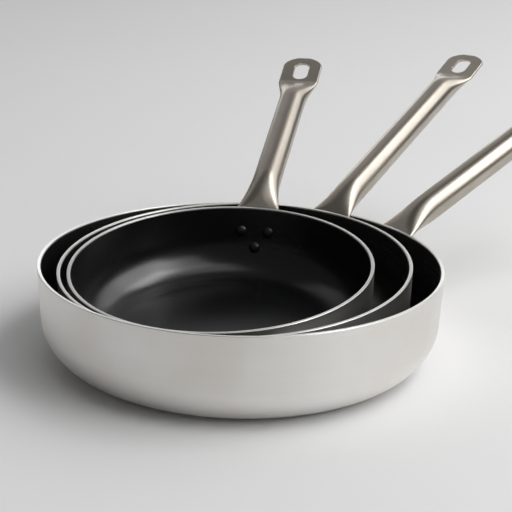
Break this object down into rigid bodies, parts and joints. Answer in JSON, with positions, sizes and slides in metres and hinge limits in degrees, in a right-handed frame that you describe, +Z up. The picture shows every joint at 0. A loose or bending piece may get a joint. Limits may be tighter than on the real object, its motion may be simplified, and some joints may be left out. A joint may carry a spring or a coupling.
{
  "type": "omelette pan",
  "caption": "Nested omelette pans: straight-sided aluminium bodies with rounded corners, black non-stick linings and riveted tubular steel handles.",
  "frame": {"origin": "on the table under the middle of the large pan's flat base", "axes": "+Z up, the large pan's handle points along +X"},
  "size_m": [0.5967, 0.3876, 0.1857],
  "materials": {
    "aluminium": "spun, satin",
    "non_stick": "smooth non-stick coating, satin",
    "steel": "satin, slightly warm",
    "rivet": "black coated, satin"
  },
  "bodies": {
    "large_pan": {"large_body": "aluminium", "large_lining": "non_stick", "large_handle": "steel", "large_rivet_left": "rivet", "large_rivet_right": "rivet", "large_rivet_lower": "rivet"},
    "middle_pan": {"middle_body": "aluminium", "middle_lining": "non_stick", "middle_handle": "steel", "middle_rivet_left": "rivet", "middle_rivet_right": "rivet", "middle_rivet_lower": "rivet"},
    "small_pan": {"small_body": "aluminium", "small_lining": "non_stick", "small_handle": "steel", "small_rivet_left": "rivet", "small_rivet_right": "rivet", "small_rivet_lower": "rivet"}
  },
  "joints": [
    {"name": "middle_lift", "type": "slide", "parent": "large_pan", "child": "middle_pan", "axis": [0, 0, 1], "range_m": [0, 0.1]},
    {"name": "small_lift", "type": "slide", "parent": "middle_pan", "child": "small_pan", "axis": [0, 0, 1], "range_m": [0, 0.1]}
  ]
}
